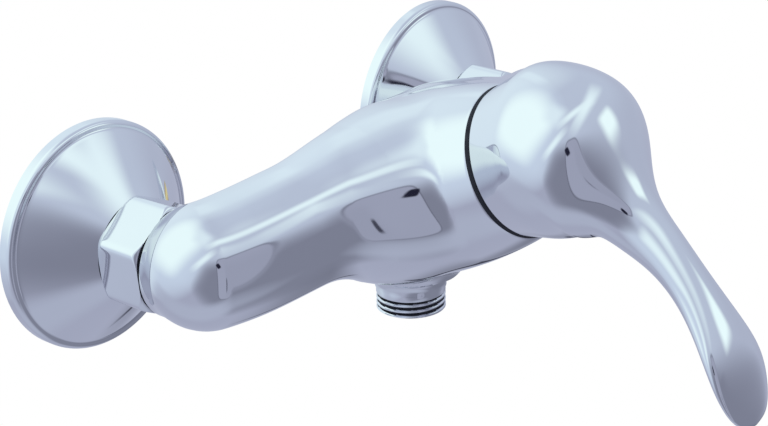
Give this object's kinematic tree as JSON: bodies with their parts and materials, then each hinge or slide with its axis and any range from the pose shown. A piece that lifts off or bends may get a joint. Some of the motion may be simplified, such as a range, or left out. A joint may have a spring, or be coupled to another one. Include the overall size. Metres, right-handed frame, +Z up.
{
  "type": "shower mixer",
  "caption": "Wall-mounted shower mixer: cast body on union nuts and bell flanges, hose outlet below, and a ball-headed paddle lever that lifts for flow and turns for heat.",
  "frame": {"origin": "on the wall plane, midway between the two inlet axes", "axes": "+X along the wall to the right as seen facing it, +Y into the wall, +Z up"},
  "size_m": [0.2176, 0.1919, 0.0878],
  "materials": {
    "chrome": "polished",
    "brass": "machined",
    "stainless": "satin",
    "rubber": "matt",
    "ceramic": "lapped",
    "white_plastic": "moulded",
    "amber_plastic": "moulded",
    "grey_plastic": "moulded"
  },
  "bodies": {
    "mixer_body": {"body": "chrome", "outlet_nipple": "chrome", "outlet_seal_ring": "rubber", "left_wall_flange": "chrome", "left_eccentric_union": "brass", "left_inlet_washer": "rubber", "left_inlet_nipple": "brass", "left_check_valve_cage": "white_plastic", "left_check_valve_spring": "stainless", "right_wall_flange": "chrome", "right_eccentric_union": "brass", "right_inlet_washer": "rubber", "right_inlet_nipple": "brass", "right_check_valve_cage": "white_plastic", "right_check_valve_spring": "stainless", "cartridge_base": "white_plastic", "cartridge_port_seals": "rubber", "fixed_ceramic_disc": "ceramic", "cartridge_housing": "white_plastic", "cartridge_clamp_nut": "brass", "cover_dome": "chrome"},
    "left_nut": {"left_union_nut": "chrome"},
    "right_nut": {"right_union_nut": "chrome"},
    "left_poppet": {"left_check_valve_poppet": "white_plastic"},
    "right_poppet": {"right_check_valve_poppet": "white_plastic"},
    "rotor": {"cartridge_rotor": "amber_plastic", "stem_pivot_pin": "stainless"},
    "lever_handle": {"handle": "chrome", "lever_stem": "brass", "handle_grub_screw": "stainless", "grub_screw_plug": "grey_plastic"},
    "sliding_disc": {"moving_ceramic_disc": "ceramic", "disc_carrier": "amber_plastic"}
  },
  "joints": [
    {"name": "handle_turn", "type": "hinge", "parent": "mixer_body", "child": "rotor", "pos_m": [0, -0.0986, 0.0226], "axis": [0, -0.9135, 0.4067], "range_deg": [-45, 45]},
    {"name": "handle_lift", "type": "hinge", "parent": "rotor", "child": "lever_handle", "pos_m": [0, -0.08216, 0.01528], "axis": [-1, 0, 0], "range_deg": [0, 22]},
    {"name": "disc_slide", "type": "slide", "parent": "rotor", "child": "sliding_disc", "axis": [0, -0.4067, -0.9135], "range_m": [0, 0.0029]},
    {"name": "left_nut_turn", "type": "hinge", "parent": "mixer_body", "child": "left_nut", "pos_m": [-0.075, -0.0277, 0], "axis": [0, -1, 0], "continuous": true},
    {"name": "right_nut_turn", "type": "hinge", "parent": "mixer_body", "child": "right_nut", "pos_m": [0.075, -0.0277, 0], "axis": [0, -1, 0], "continuous": true},
    {"name": "left_poppet_open", "type": "slide", "parent": "mixer_body", "child": "left_poppet", "axis": [0, -1, 0], "range_m": [0, 0.0025], "stiffness_N_per_m": 300, "springref_m": -0.003, "deforming": ["left_check_valve_spring"]},
    {"name": "right_poppet_open", "type": "slide", "parent": "mixer_body", "child": "right_poppet", "axis": [0, -1, 0], "range_m": [0, 0.0025], "stiffness_N_per_m": 300, "springref_m": -0.003, "deforming": ["right_check_valve_spring"]}
  ],
  "couplings": [
    {"joint": "disc_slide", "follows": "handle_lift", "m_per_rad": 0.007454}
  ]
}
